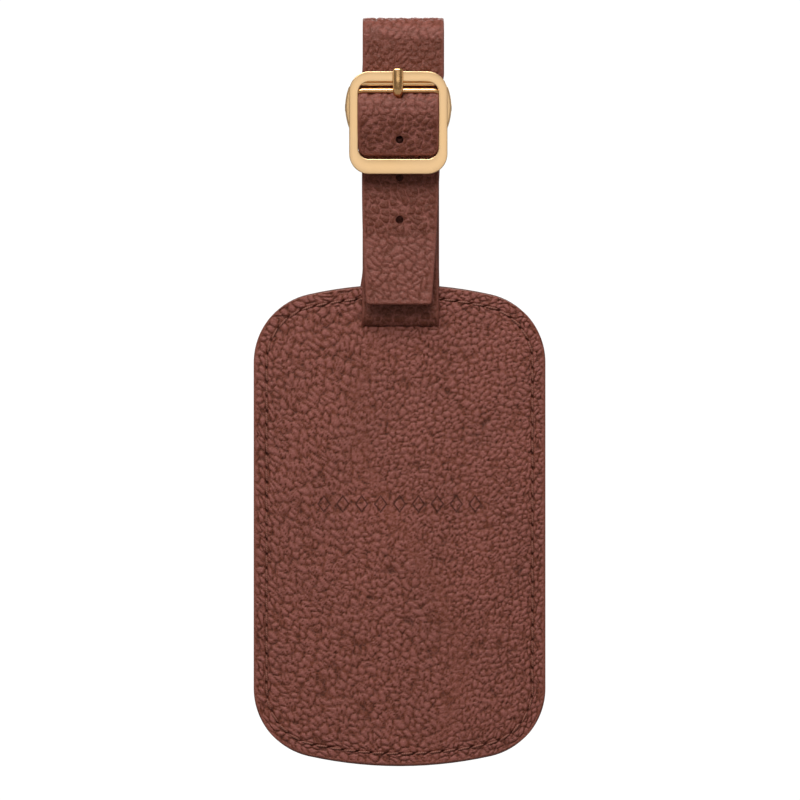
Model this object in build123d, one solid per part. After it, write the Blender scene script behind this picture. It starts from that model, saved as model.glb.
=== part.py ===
"""Leather luggage tag: a stitched, stiffened tag body with a card pocket on its back, hung on one double-faced
strap that runs through a slot in the tag and is closed by a brass buckle with a prong.

Frame: origin on the axis of the bend that goes round a luggage handle, +Z up, the tag's face looks along -Y.
Every length is in millimetres."""

import math
import os

from build123d import *

# ---- strap ----
STRAP_W = 19.0
STRAP_T = 1.5
PLY_T = STRAP_T / 2
HANDLE_R = 4.0  # inside radius of the bend over the luggage handle
LOOP_R = HANDLE_R + PLY_T  # the same bend on the line between the two plies
HOLE_D = 1.9
HOLE_PITCH = 10.0
TIP_CORNER_R = 2.2  # rounded corners of the free tip
END_W = 15.2  # the other end narrows to this

# ---- buckle ----
BAR_Y, BAR_Z = -3.65, -16.1  # the centre bar's axis
BAR_R = 1.0
PLATE_FRONT_Y, PLATE_T = -8.0, 1.6
PLATE_BACK_Y = PLATE_FRONT_Y + PLATE_T
PLATE_W, PLATE_TOP, PLATE_BOTTOM, PLATE_R = 23.3, -7.0, -31.3, 4.8
WINDOW_W, WINDOW_TOP, WINDOW_BOTTOM, WINDOW_R = 19.3, -9.4, -27.8, 2.5
RELIEF_DEPTH, RELIEF_H = 0.5, 6.4  # side reliefs of the window, where the strap bulges over the bar
LUG_H, LUG_REACH, LUG_BACK_Y = 9.9, 12.6, -2.05
ROD_Y, ROD_Z, ROD_R, ROD_SEAT = -7.25, -11.5, 0.55, 0.8
PRONG_W, PRONG_NECK_W, PRONG_T = 2.1, 1.7, 1.1
PRONG_TOP = -6.3
PRONG_SWING_DEG = 12  # how far the punched hole lets the prong lift

# ---- tag body ----
TAG_W, TAG_TOP, TAG_BOTTOM = 69.5, -58.0, -172.9
CROWN_R, CORNER_R = 100.0, 16.7  # the arched top and bottom edges, and the four corners
FRONT_Y = -1.9  # front face of the tag
FRONT_T, CORE_T, BACK_T = 1.3, 0.9, 0.9
CORE_Y = FRONT_Y + FRONT_T
BACK_Y = CORE_Y + CORE_T
WEB_BACK_Y = BACK_Y + BACK_T  # back face above the pocket
WEB_MID_Y = (FRONT_Y + WEB_BACK_Y) / 2
SLOT_W, SLOT_TOP, SLOT_BOTTOM, SLOT_R = 19.5, -65.15, -68.5, 0.5
EDGE_FILLET = 0.45

# ---- pocket ----
POCKET_BACK_Y = 2.6
POCKET_MOUTH_Z = -80.0
THUMB_R, THUMB_DEPTH = 14.0, 6.5
RECESS_W, RECESS_BOTTOM, RECESS_T, RECESS_R = 57.0, -165.0, 0.75, 5.0
VIEW_W, VIEW_TOP, VIEW_BOTTOM, VIEW_R = 49.0, -96.0, -157.0, 3.0
FILM_LAP, FILM_T = 3.5, 0.3
CARD_W, CARD_TOP, CARD_BOTTOM, CARD_R = 55.0, -82.5, -163.0, 3.0
CARD_T, CARD_GAP = 0.36, 0.03

# ---- stitching ----
STITCH_INSET = 3.1
STITCH_PITCH = 3.4
STITCH_LENGTH = 2.6
THREAD_D = 0.5
CHANNEL_W, CHANNEL_DEPTH = 0.8, 0.5
THREAD_SUNK = 0.15  # depth of the thread's axis under the leather's face

# ---- where the strap bends when the tag swings ----
FLEX_Z, FLEX_HALF_GAP = -47.3, 1.6
UPPER_END, LOWER_END = FLEX_Z + FLEX_HALF_GAP, FLEX_Z - FLEX_HALF_GAP

# Routes of the strap, as (y, z) on the line between its plies, with one radius for each corner.
SLOT_LOOP_R = (WEB_BACK_Y - FRONT_Y) / 2 + 0.15 + PLY_T
FOLD_R = BAR_R + 0.15 + PLY_T
TIP_Z = -27.3
END_Z = -63.0
HANDLE_LOOP = [
    (-6.5, TIP_Z),
    (-7.5, -15.6),
    (-LOOP_R, -10.6),
    (-LOOP_R, LOOP_R),
    (LOOP_R, LOOP_R),
    (LOOP_R, -14.0),
    (2.3, -42.0),
    (2.15, UPPER_END),
]
HANDLE_LOOP_RADII = [5.0, 4.5, LOOP_R, LOOP_R, 30.0, 20.0]
BUCKLE_FOLD = [
    (-4.45, UPPER_END),
    (-4.7, -30.5),
    (BAR_Y - FOLD_R, -19.0),
    (BAR_Y - FOLD_R, BAR_Z + FOLD_R),
    (BAR_Y + FOLD_R, BAR_Z + FOLD_R),
    (BAR_Y + FOLD_R, -20.0),
    (-2.75, UPPER_END),
]
BUCKLE_FOLD_RADII = [30.0, 15.0, FOLD_R, FOLD_R, 30.0]
SLOT_LOOP = [
    (WEB_MID_Y - SLOT_LOOP_R, LOWER_END),
    (WEB_MID_Y - SLOT_LOOP_R, SLOT_TOP - SLOT_LOOP_R),
    (WEB_MID_Y + SLOT_LOOP_R, SLOT_TOP - SLOT_LOOP_R),
    (WEB_MID_Y + SLOT_LOOP_R, LOWER_END),
]
SLOT_LOOP_RADII = [SLOT_LOOP_R, SLOT_LOOP_R]
STRAP_END = [(-4.42, LOWER_END), (-4.45, -54.0), (-5.05, END_Z)]
STRAP_END_RADII = [15.0]


def route_edges(points, radii, shift):
    """Edges, in the YZ plane, of a route with rounded corners, moved sideways to its left by shift."""
    spots = [Vector(0, y, z) for y, z in points]
    runs = [(b - a).normalized() for a, b in zip(spots, spots[1:])]
    lefts = [Vector(0, -run.Z, run.Y) for run in runs]
    edges, here = [], spots[0] + lefts[0] * shift
    for i, radius in enumerate(radii):
        corner = spots[i + 1]
        turn = math.radians(runs[i].get_angle(runs[i + 1]))
        side = 1 if lefts[i].dot(runs[i + 1]) > 0 else -1
        tangent = radius * math.tan(turn / 2)
        centre = corner - runs[i] * tangent + lefts[i] * (radius * side)
        start = corner - runs[i] * tangent + lefts[i] * shift
        end = corner + runs[i + 1] * tangent + lefts[i + 1] * shift
        middle = centre + (corner - centre).normalized() * (radius - side * shift)
        if (start - here).length > 1e-4:
            edges.append(Edge.make_line(here, start))
        edges.append(Edge.make_three_point_arc(start, middle, end))
        here = end
    edges.append(Edge.make_line(here, spots[-1] + lefts[-1] * shift))
    return edges


def ply(points, radii, near, far, width=STRAP_W):
    """One layer of the strap, from near to far to the left of its route."""
    low, high = route_edges(points, radii, near), route_edges(points, radii, far)
    caps = [
        Edge.make_line(low[0] @ 0, high[0] @ 0),
        Edge.make_line(low[-1] @ 1, high[-1] @ 1),
    ]
    face = Face(Wire.combine([*low, *high, *caps])[0])
    return extrude(face, amount=width / 2, dir=(1, 0, 0), both=True)


def upright(sketch, y):
    """A sketch drawn as (x, z), stood up at y with its normal along -Y."""
    return Plane(origin=(0, y, 0), x_dir=(1, 0, 0), z_dir=(0, -1, 0)) * sketch


def slab(sketch, front_y, back_y):
    """An upright sheet of that outline between two y values."""
    return extrude(upright(sketch, back_y), amount=back_y - front_y, dir=(0, -1, 0))


def rounded_panel(width, top, bottom, radius):
    """A rounded rectangle about x = 0, between two heights."""
    return Pos(0, (top + bottom) / 2) * RectangleRounded(width, top - bottom, radius)


def punch(y, z, diameter=HOLE_D, depth=6.0):
    """A round punch through the strap, along Y."""
    return Pos(0, y, z) * Rot(90, 0, 0) * Cylinder(diameter / 2, depth)


def tag_outline(inset=0.0):
    """The tag's outline, or a line that runs inset inside it: arched ends, round corners, straight sides."""
    half, crown, corner = TAG_W / 2 - inset, CROWN_R - inset, CORNER_R - inset
    corner_x = half - corner
    crown_z = TAG_TOP - CROWN_R
    corner_z = crown_z + math.sqrt((crown - corner) ** 2 - corner_x**2)
    lean = math.atan2(corner_x, corner_z - crown_z)
    meet_x, meet_z = crown * math.sin(lean), crown_z + crown * math.cos(lean)
    knee = (lean + math.pi / 2) / 2
    knee_x, knee_z = corner_x + corner * math.sin(knee), corner_z + corner * math.cos(knee)
    flip = TAG_TOP + TAG_BOTTOM  # mirrors a height from the top end to the bottom end

    def end(sign, level):
        crown_arc = ThreePointArc(
            (-meet_x, level(meet_z)), (0, level(crown_z + crown)), (meet_x, level(meet_z))
        )
        corners = [
            ThreePointArc((s * meet_x, level(meet_z)), (s * knee_x, level(knee_z)), (s * half, level(corner_z)))
            for s in (-1, 1)
        ]
        return [crown_arc, *corners]

    edges = end(1, lambda z: z) + end(-1, lambda z: flip - z)
    edges += [Line((s * half, corner_z), (s * half, flip - corner_z)) for s in (-1, 1)]
    return make_face(edges)


def slot():
    """The slot for the strap, cut through the three layers of the tag."""
    return slab(rounded_panel(SLOT_W, SLOT_TOP, SLOT_BOTTOM, SLOT_R), FRONT_Y - 1, POCKET_BACK_Y + 1)


def channel(face_y, inward):
    """The sunk line that the stitches lie in, on a face at face_y."""
    line = tag_outline(STITCH_INSET - CHANNEL_W / 2) - tag_outline(STITCH_INSET + CHANNEL_W / 2)
    low, high = sorted((face_y, face_y + inward * CHANNEL_DEPTH))
    return slab(line, low, high)


def stitches(face_y, inward, keep):
    """Separate stitches round the tag on the face at face_y, where keep(z) is true at both their ends."""
    seam = tag_outline(STITCH_INSET).face().outer_wire()
    count = round(seam.length / STITCH_PITCH)
    reach = STITCH_LENGTH / seam.length / 2
    axis_y = face_y + inward * THREAD_SUNK
    made = []
    for i in range(count):
        middle = (i + 0.5) / count
        a, b = (seam @ ((middle + side * reach) % 1) for side in (-1, 1))
        if keep(a.Y) and keep(b.Y):
            start, end = Vector(a.X, axis_y, a.Y), Vector(b.X, axis_y, b.Y)
            plane = Plane(origin=start, z_dir=end - start)
            made.append(extrude(plane * Circle(THREAD_D / 2), amount=(end - start).length))
    return Compound(children=[s.solid() for s in made])


def front_panel():
    """Pebbled leather face of the tag."""
    panel = slab(tag_outline(), FRONT_Y, CORE_Y)
    rim = panel.faces().sort_by(Axis.Y)[0].outer_wire().edges()
    return fillet(rim, EDGE_FILLET) - slot() - channel(FRONT_Y, 1)


def core_board():
    """Bonded leather board that stiffens the tag."""
    return slab(tag_outline(), CORE_Y, BACK_Y) - slot()


def back_panel():
    """Smooth leather back of the tag."""
    return slab(tag_outline(), BACK_Y, WEB_BACK_Y) - slot() - channel(WEB_BACK_Y, -1)


def pocket_panel():
    """Leather pocket on the back: open along its top edge, with a thumb notch and a viewing window."""
    below_mouth = Pos(0, (POCKET_MOUTH_Z + TAG_BOTTOM) / 2 - 1) * Rectangle(
        TAG_W + 2, POCKET_MOUTH_Z - TAG_BOTTOM + 2
    )
    thumb = Pos(0, POCKET_MOUTH_Z + THUMB_R - THUMB_DEPTH) * Circle(THUMB_R)
    window = rounded_panel(VIEW_W, VIEW_TOP, VIEW_BOTTOM, VIEW_R)
    panel = slab((tag_outline() & below_mouth) - thumb - window, WEB_BACK_Y, POCKET_BACK_Y)
    recess = rounded_panel(RECESS_W, POCKET_MOUTH_Z + 2 * RECESS_R, RECESS_BOTTOM, RECESS_R)
    panel -= slab(recess, WEB_BACK_Y - 1, WEB_BACK_Y + RECESS_T)
    return panel - channel(POCKET_BACK_Y, -1)


def window_film():
    """Clear film, welded to the inside of the pocket round the window."""
    outline = rounded_panel(VIEW_W + 2 * FILM_LAP, VIEW_TOP + FILM_LAP, VIEW_BOTTOM - FILM_LAP, VIEW_R)
    back = WEB_BACK_Y + RECESS_T
    return slab(outline, back - FILM_T, back)


def address_card():
    """Card that slides in the pocket."""
    outline = rounded_panel(CARD_W, CARD_TOP, CARD_BOTTOM, CARD_R)
    return slab(outline, WEB_BACK_Y + CARD_GAP, WEB_BACK_Y + CARD_GAP + CARD_T)


def prong_route():
    """Side outline of the prong's shank, from the loop on the bar to the tip over the frame, as (y, z)."""
    return [
        (BAR_Y - 0.65, BAR_Z + 1.5),
        (-6.4, -13.5),
        (PLATE_FRONT_Y - 0.1 - PRONG_T / 2, -12.2),
        (PLATE_FRONT_Y - 0.1 - PRONG_T / 2, PRONG_TOP),
    ]


def prong():
    """The prong: a loop round the centre bar and a shank that passes the strap and rests on the frame."""
    loop = Plane.YZ * Pos(BAR_Y, BAR_Z) * (Circle(BAR_R + 0.05 + PRONG_T) - Circle(BAR_R + 0.05))
    loop = extrude(loop, amount=PRONG_W / 2, both=True)
    route, radii = prong_route(), [3.0, 1.6]
    shank = ply(route, radii, -PRONG_T / 2, PRONG_T / 2, PRONG_W)
    tip = shank.edges().filter_by(Axis.X).sort_by(Axis.Z)[-2:]
    shank = fillet(tip, PRONG_T * 0.45)
    neck_z = route[1][1]
    taper = Polygon(
        (-PRONG_W / 2, PRONG_TOP + 1),
        (PRONG_W / 2, PRONG_TOP + 1),
        (PRONG_W / 2, PRONG_TOP - 2.5),
        (PRONG_NECK_W / 2, neck_z + 0.4),
        (PRONG_NECK_W / 2, BAR_Z),
        (-PRONG_NECK_W / 2, BAR_Z),
        (-PRONG_NECK_W / 2, neck_z + 0.4),
        (-PRONG_W / 2, PRONG_TOP - 2.5),
        align=None,
    )
    shank &= slab(taper, PLATE_FRONT_Y - 3, BAR_Y + 3)
    bar_hole = Pos(0, BAR_Y, BAR_Z) * Rot(0, 90, 0) * Cylinder(BAR_R + 0.05, PRONG_W + 1)
    return (loop + shank) - bar_hole


def prong_clearance():
    """The room that the prong sweeps in the strap as it lifts and as the buckle rocks."""
    route = prong_route()
    start, end = Vector(0, *route[0]), Vector(0, *route[1])
    along = (end - start).normalized()
    rod = extrude(Plane(origin=start - along, z_dir=along) * Circle(1.1), amount=6.0)
    about_bar = Axis((0, BAR_Y, BAR_Z), (1, 0, 0))
    swept = None
    for angle in range(-3, PRONG_SWING_DEG + 4, 3):
        turned = rod.rotate(about_bar, angle)
        swept = turned if swept is None else swept + turned
    return swept


def fold_slot():
    """Slot in the fold round the bar, which leaves room for the prong's loop."""
    return Pos(0, BAR_Y - 0.6, BAR_Z + 0.6) * Box(PRONG_W + 0.6, 6.2, 6.4)


def strap_plies():
    """Every stretch of the strap as an outer and an inner ply, in a dictionary by node name."""
    nodes = {}
    tip = slab(
        rounded_panel(STRAP_W, 20, TIP_Z, TIP_CORNER_R), PLATE_FRONT_Y - 3, BAR_Y
    )
    keep = tip + Pos(0, 20 + BAR_Y, -20) * Box(STRAP_W + 2, 40, 100)
    spare = [punch(-6.7, TIP_Z + 3.9), prong_clearance()]
    for name, near, far in (("outer", 0, PLY_T), ("inner", -PLY_T, 0)):
        band = ply(HANDLE_LOOP, HANDLE_LOOP_RADII, near, far) & keep
        for cut in spare:
            band -= cut
        nodes[f"handle_loop_{name}_ply"] = band

    first_hole = PLATE_BOTTOM - 1.05
    holes = [punch(-4.8, first_hole + step * HOLE_PITCH) for step in (1, 0, -1)]
    front_only = Pos(0, -23.6, -30) * Box(STRAP_W + 2, 40, 100)
    for name, near, far in (("face", 0, PLY_T), ("lining", -PLY_T, 0)):
        band = ply(BUCKLE_FOLD, BUCKLE_FOLD_RADII, near, far) - fold_slot()
        band -= prong_clearance()
        for hole in holes:
            band -= hole & front_only
        nodes[f"buckle_fold_{name}_ply"] = band

    for name, near, far in (("outer", -PLY_T, 0), ("inner", 0, PLY_T)):
        nodes[f"slot_loop_{name}_ply"] = ply(SLOT_LOOP, SLOT_LOOP_RADII, near, far)

    start_w = STRAP_W - 1.0
    side = [
        ThreePointArc((s * start_w / 2, LOWER_END), (s * 8.55, -56.5), (s * END_W / 2, END_Z)) for s in (-1, 1)
    ]
    ends = [Line((-start_w / 2, LOWER_END), (start_w / 2, LOWER_END)), Line((-END_W / 2, END_Z), (END_W / 2, END_Z))]
    taper = slab(make_face(side + ends), -9, 0)
    for name, near, far in (("face", -PLY_T, 0), ("lining", 0, PLY_T)):
        nodes[f"strap_end_{name}_ply"] = ply(STRAP_END, STRAP_END_RADII, near, far) & taper
    return nodes


def buckle_frame():
    """Cast frame: a flat rounded plate with a window, and two lugs behind it that carry the centre bar."""
    window = rounded_panel(WINDOW_W, WINDOW_TOP, WINDOW_BOTTOM, WINDOW_R)
    plate = slab(rounded_panel(PLATE_W, PLATE_TOP, PLATE_BOTTOM, PLATE_R) - window, PLATE_FRONT_Y, PLATE_BACK_Y)
    front = plate.faces().sort_by(Axis.Y)[0]
    plate = fillet(front.edges(), 0.35)
    edge = PLATE_W / 2
    sagitta = LUG_REACH - edge
    arc_r = ((LUG_H / 2) ** 2 + sagitta**2) / (2 * sagitta)
    for s in (-1, 1):
        arc = Pos(s * (LUG_REACH - arc_r), BAR_Z) * Circle(arc_r)
        block = Pos(s * (WINDOW_W / 2 + LUG_REACH) / 2, BAR_Z) * Rectangle(LUG_REACH - WINDOW_W / 2, LUG_H)
        plate += slab(arc & block, PLATE_FRONT_Y + PLATE_T / 2, LUG_BACK_Y)
    relief = Pos(0, BAR_Z - 1.3) * RectangleRounded(WINDOW_W + 2 * RELIEF_DEPTH, RELIEF_H, 0.49)
    plate -= slab(relief, PLATE_FRONT_Y - 1, LUG_BACK_Y + 1)
    plate -= Pos(0, BAR_Y, BAR_Z) * Rot(0, 90, 0) * Cylinder(BAR_R, 40)
    return plate - keeper_rod()


def centre_bar():
    """Steel bar across the lugs, its ends flush with them."""
    bar = Pos(0, BAR_Y, BAR_Z) * Rot(0, 90, 0) * Cylinder(BAR_R, 2 * (LUG_REACH - 0.05))
    return bar


def keeper_rod():
    """Thin rod across the window that holds the strap down under the prong."""
    return Pos(0, ROD_Y, ROD_Z) * Rot(0, 90, 0) * Cylinder(ROD_R, WINDOW_W + 2 * ROD_SEAT)


def main():
    os.makedirs("parts", exist_ok=True)
    nodes = {
        "front_panel": front_panel(),
        "core_board": core_board(),
        "back_panel": back_panel(),
        "pocket_panel": pocket_panel(),
        "window_film": window_film(),
        "address_card": address_card(),
        "front_stitches": stitches(FRONT_Y, 1, lambda z: True),
        "back_stitches": stitches(WEB_BACK_Y, -1, lambda z: z > POCKET_MOUTH_Z),
        "pocket_stitches": stitches(POCKET_BACK_Y, -1, lambda z: z < POCKET_MOUTH_Z),
        "buckle_frame": buckle_frame(),
        "centre_bar": centre_bar(),
        "keeper_rod": keeper_rod(),
        "prong": prong(),
    }
    nodes.update(strap_plies())
    for name, shape in nodes.items():
        export_step(shape, f"parts/{name}.step")


main()
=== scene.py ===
import math

import bmesh
import bpy
import numpy as np
from mathutils import Matrix, Vector


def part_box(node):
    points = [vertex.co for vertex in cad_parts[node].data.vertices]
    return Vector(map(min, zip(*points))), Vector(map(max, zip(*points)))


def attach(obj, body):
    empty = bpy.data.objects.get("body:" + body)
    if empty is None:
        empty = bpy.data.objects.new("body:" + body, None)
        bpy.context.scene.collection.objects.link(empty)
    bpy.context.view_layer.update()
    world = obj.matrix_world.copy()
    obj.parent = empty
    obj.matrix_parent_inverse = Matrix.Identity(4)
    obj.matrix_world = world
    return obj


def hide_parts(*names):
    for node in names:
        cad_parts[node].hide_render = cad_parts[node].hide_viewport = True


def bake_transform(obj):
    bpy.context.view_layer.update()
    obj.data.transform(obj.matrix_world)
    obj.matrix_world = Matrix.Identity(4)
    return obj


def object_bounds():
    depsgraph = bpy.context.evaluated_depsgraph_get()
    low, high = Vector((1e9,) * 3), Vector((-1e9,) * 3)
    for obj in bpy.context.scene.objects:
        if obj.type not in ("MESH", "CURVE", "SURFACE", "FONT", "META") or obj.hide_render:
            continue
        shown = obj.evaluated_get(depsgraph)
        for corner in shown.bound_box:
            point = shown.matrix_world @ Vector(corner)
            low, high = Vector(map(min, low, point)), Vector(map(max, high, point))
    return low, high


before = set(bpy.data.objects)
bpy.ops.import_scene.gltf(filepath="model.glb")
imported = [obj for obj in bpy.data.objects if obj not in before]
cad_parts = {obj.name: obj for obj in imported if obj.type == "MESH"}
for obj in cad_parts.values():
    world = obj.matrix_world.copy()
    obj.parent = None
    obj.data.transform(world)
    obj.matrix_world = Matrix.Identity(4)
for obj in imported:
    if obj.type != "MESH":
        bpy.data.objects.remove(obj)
cad_low, cad_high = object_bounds()
scene = bpy.context.scene

# ---- Camera and studio ----
# A long lens looks level at the tag's face, which hangs over a pale floor. One soft light stands high in
# front and rakes the grain. A pale card behind the camera gives the metal something to mirror, and two
# strips rim the sides.
scene.view_settings.view_transform = "Standard"
CAMERA_AWAY = 1.15
VIEW_HEIGHT = 0.1908
camera = bpy.data.objects.new("camera", bpy.data.cameras.new("camera"))
camera.data.sensor_width = 36.0
camera.data.lens = 36.0 * CAMERA_AWAY / VIEW_HEIGHT
camera.data.clip_end = 20.0
camera.location = (0.0001, -CAMERA_AWAY, -0.0856)
camera.rotation_euler = (math.radians(90), 0, 0)
scene.collection.objects.link(camera)
scene.camera = camera


def softbox(name, place, aim, width, height, power):
    lamp = bpy.data.objects.new(name, bpy.data.lights.new(name, "AREA"))
    lamp.data.shape = "RECTANGLE"
    lamp.data.size, lamp.data.size_y = width, height
    lamp.data.energy = power
    lamp.location = place
    lamp.rotation_euler = (Vector(aim) - Vector(place)).to_track_quat("-Z", "Y").to_euler()
    scene.collection.objects.link(lamp)


softbox("key", (-0.12, -0.50, 0.62), (0, 0, -0.09), 0.70, 0.45, 9.5)
softbox("front_card", (0.02, -1.5, -0.02), (0, 0, -0.05), 0.8, 0.6, 1.6)
softbox("left_strip", (-0.9, -0.25, 0.0), (0, 0, -0.08), 0.25, 1.0, 0.8)
softbox("right_strip", (0.9, -0.2, 0.0), (0, 0, -0.08), 0.25, 1.0, 0.9)
softbox("back_fill", (0.2, 1.3, 0.5), (0, 0, -0.09), 1.2, 0.9, 11.0)

world = bpy.data.worlds.new("studio")
world.use_nodes = True
scene.world = world
nodes, links = world.node_tree.nodes, world.node_tree.links
sky, room = nodes["Background"], nodes.new("ShaderNodeBackground")
sky.inputs["Color"].default_value = (1, 1, 1, 1)
sky.inputs["Strength"].default_value = 1.05
room.inputs["Color"].default_value = (1, 0.86, 0.74, 1)
room.inputs["Strength"].default_value = 0.17
ray, choose = nodes.new("ShaderNodeLightPath"), nodes.new("ShaderNodeMixShader")
links.new(ray.outputs["Is Camera Ray"], choose.inputs["Fac"])
links.new(room.outputs["Background"], choose.inputs[1])
links.new(sky.outputs["Background"], choose.inputs[2])
links.new(choose.outputs["Shader"], nodes["World Output"].inputs["Surface"])

bm = bmesh.new()
bmesh.ops.create_circle(bm, cap_ends=True, segments=96, radius=0.6)
bmesh.ops.translate(bm, verts=bm.verts, vec=(0, 0, cad_low.z - 0.16))
floor = bpy.data.objects.new("floor", bpy.data.meshes.new("floor"))
bm.to_mesh(floor.data)
bm.free()
scene.collection.objects.link(floor)
paper = bpy.data.materials.new("floor_paper")
paper.use_nodes = True
nodes, links = paper.node_tree.nodes, paper.node_tree.links
shader = nodes["Principled BSDF"]
seen, shade = nodes.new("ShaderNodeLightPath"), nodes.new("ShaderNodeMix")
shade.data_type = "RGBA"
shade.inputs[6].default_value = (0.30, 0.28, 0.27, 1)
shade.inputs[7].default_value = (0.86, 0.86, 0.85, 1)
links.new(seen.outputs["Is Camera Ray"], shade.inputs["Factor"])
links.new(shade.outputs[2], shader.inputs["Base Color"])
shader.inputs["Roughness"].default_value = 0.9
shader.inputs["Emission Color"].default_value = (1, 1, 1, 1)
shader.inputs["Emission Strength"].default_value = 0.06
floor.data.materials.append(paper)

# ---- Pebbled face of the body ----
# One die-cut piece of tumbled, pebble-grained cowhide, 1.3 mm thick. A groove for the stitching runs 3.1
# mm in from its edge, with awl holes pricked along it. The slot for the strap is punched under the top
# edge, and a row of nine lozenge outlines is pressed across the middle.
low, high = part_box("front_panel")
HALF_W, HALF_H = high.x, (high.z - low.z) / 2
MID_Z = (high.z + low.z) / 2
FACE_Y, FACE_BACK_Y = low.y, high.y
CROWN_R, CORNER_R = 0.100, 0.0167
STITCH_INSET, STITCHES = 0.0031, 92
corner_x = HALF_W - CORNER_R
crown_z = HALF_H - CROWN_R
corner_z = crown_z + math.sqrt((CROWN_R - CORNER_R) ** 2 - corner_x**2)
lean = math.atan2(corner_x, corner_z - crown_z)


def outline(inset, step=0.0004):
    """The body's outline, a set distance inside its edge, as points clockwise from the middle of its top."""
    crown, corner = CROWN_R - inset, CORNER_R - inset
    a = np.linspace(0, lean, int(crown * lean / step), endpoint=False)
    b = np.linspace(lean, math.pi / 2, int(corner * (math.pi / 2 - lean) / step) + 2, endpoint=False)
    c = np.linspace(corner_z, 0, int(corner_z / step), endpoint=False)
    x = np.concatenate((crown * np.sin(a), corner_x + corner * np.sin(b), np.full(len(c), HALF_W - inset)))
    z = np.concatenate((crown_z + crown * np.cos(a), corner_z + corner * np.cos(b), c))
    quarter = np.stack((x, z), 1)
    half = np.concatenate((quarter, quarter[::-1] * (1, -1)))
    return np.concatenate((half, half[::-1] * (-1, 1))) + (0, MID_Z)


def along(line, count, phase=0.0):
    """count points spaced evenly round a closed line, and the line's direction at each."""
    step = np.diff(np.concatenate((line, line[:1])), axis=0)
    run = np.concatenate(([0], np.cumsum(np.hypot(step[:, 0], step[:, 1]))))
    at = (np.arange(count) + phase) / count * run[-1]
    ring = np.concatenate((line, line[:1]))
    spots = np.stack([np.interp(at, run, ring[:, k]) for k in (0, 1)], 1)
    ahead = np.stack([np.interp((at + 0.0003) % run[-1], run, ring[:, k]) for k in (0, 1)], 1)
    heading = ahead - spots
    return spots, heading / np.linalg.norm(heading, axis=1)[:, None]


def depth_in(x, z):
    """How far inside the body's outline each point lies."""
    x, z = np.abs(x), np.abs(z - MID_Z)
    inside = np.minimum(HALF_W - x, CROWN_R - np.hypot(x, z - crown_z))
    turn = np.arctan2(x - corner_x, z - corner_z)
    at_corner = (x > corner_x) & (turn > lean) & (z > corner_z)
    return np.where(at_corner, CORNER_R - np.hypot(x - corner_x, z - corner_z), inside)


def pebbles(x, z, cell, seed):
    """Height, 0 in the creases to 1 on the tops, of leather pebbles about one cell across."""
    p = np.stack((x, z), 1) / cell
    waver_x = np.sin(1.7 * p[:, 1] + np.sin(p[:, 0]))
    waver_z = np.sin(1.5 * p[:, 0] + np.sin(1.2 * p[:, 1]))
    p = p + 0.3 * np.stack((waver_x, waver_z), 1)
    jitter = np.random.RandomState(seed).rand(256, 256, 2)
    home = np.floor(p).astype(int)
    reach = []
    for step in [(i, j) for i in (-1, 0, 1) for j in (-1, 0, 1)]:
        spot = home + step
        centre = spot + jitter[spot[:, 0] & 255, spot[:, 1] & 255]
        reach.append(np.hypot(*(p - centre).T))
    reach = np.sort(reach, axis=0)
    crease = np.clip((reach[1] - reach[0]) / 0.34, 0, 1)
    return crease * crease * (3 - 2 * crease) * (1 - 0.4 * np.clip(reach[0] / 0.75, 0, 1) ** 2)


def ease(t):
    """From 0 to 1, starting and ending gently."""
    t = np.clip(t, 0, 1)
    return t * t * (3 - 2 * t)


def swirl(x, z, reach):
    """Slow drift of the grain over the hide, so that its rows bend and stretch."""
    return (
        x + reach * np.sin(z / 0.021 + 1.3 * np.sin(x / 0.034)),
        z + reach * np.sin(x / 0.017 + 0.9 + 1.1 * np.sin(z / 0.029)),
    )


def grid(name, columns, rows, place):
    """A sheet of columns by rows, rolled and bent into its place, which also gives each point a tone, kept as
    its grain attribute, where the face and strap carry painted light as well as grain.
    """
    bm = bmesh.new()
    bmesh.ops.create_grid(bm, x_segments=columns, y_segments=rows, size=0.5)
    mesh = bpy.data.meshes.new(name)
    bm.to_mesh(mesh)
    flat = np.empty(len(mesh.vertices) * 3)
    mesh.vertices.foreach_get("co", flat)
    flat = flat.reshape(-1, 3)
    i = np.rint((flat[:, 0] + 0.5) * columns).astype(int)
    j = np.rint((flat[:, 1] + 0.5) * rows).astype(int)
    spots, grain = place(i, j)
    mesh.vertices.foreach_set("co", spots.astype(np.float32).ravel())
    mesh.attributes.new("grain", "FLOAT", "POINT").data.foreach_set("value", grain.astype(np.float32))
    bm.clear()
    bm.from_mesh(mesh)
    bmesh.ops.remove_doubles(bm, verts=bm.verts, dist=1e-6)
    bmesh.ops.holes_fill(bm, edges=[e for e in bm.edges if e.is_boundary])
    bmesh.ops.recalc_face_normals(bm, faces=bm.faces)
    for facet in bm.faces:
        facet.smooth = True
    bm.to_mesh(mesh)
    bm.free()
    piece = bpy.data.objects.new(name, mesh)
    scene.collection.objects.link(piece)
    return piece


def carve(piece, cutter):
    """Cuts one closed shape out of a piece, and drops the cutter."""
    cut = piece.modifiers.new("cut", "BOOLEAN")
    cut.operation, cut.solver, cut.object = "DIFFERENCE", "EXACT", cutter
    bpy.context.view_layer.update()
    whole = piece.evaluated_get(bpy.context.evaluated_depsgraph_get())
    piece.data = bpy.data.meshes.new_from_object(whole)
    piece.modifiers.clear()
    bpy.data.objects.remove(cutter)


seam, seam_run = along(outline(STITCH_INSET), STITCHES, 0.5)
pricks, prick_run = along(outline(STITCH_INSET), STITCHES, 0.0)
MOTIF_Z, GEM_PITCH, GEMS = -0.1104, 0.0045, 9


def spread(size, gaps):
    """Places of grid lines across a width: the fine gaps in from each edge, then steps of the last gap."""
    edge = np.cumsum(gaps[:-1])
    middle = np.linspace(edge[-1], size - edge[-1], int(round((size - 2 * edge[-1]) / gaps[-1])) + 1)
    return np.concatenate((edge[:-1], middle, size - edge[:-1][::-1]))


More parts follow.
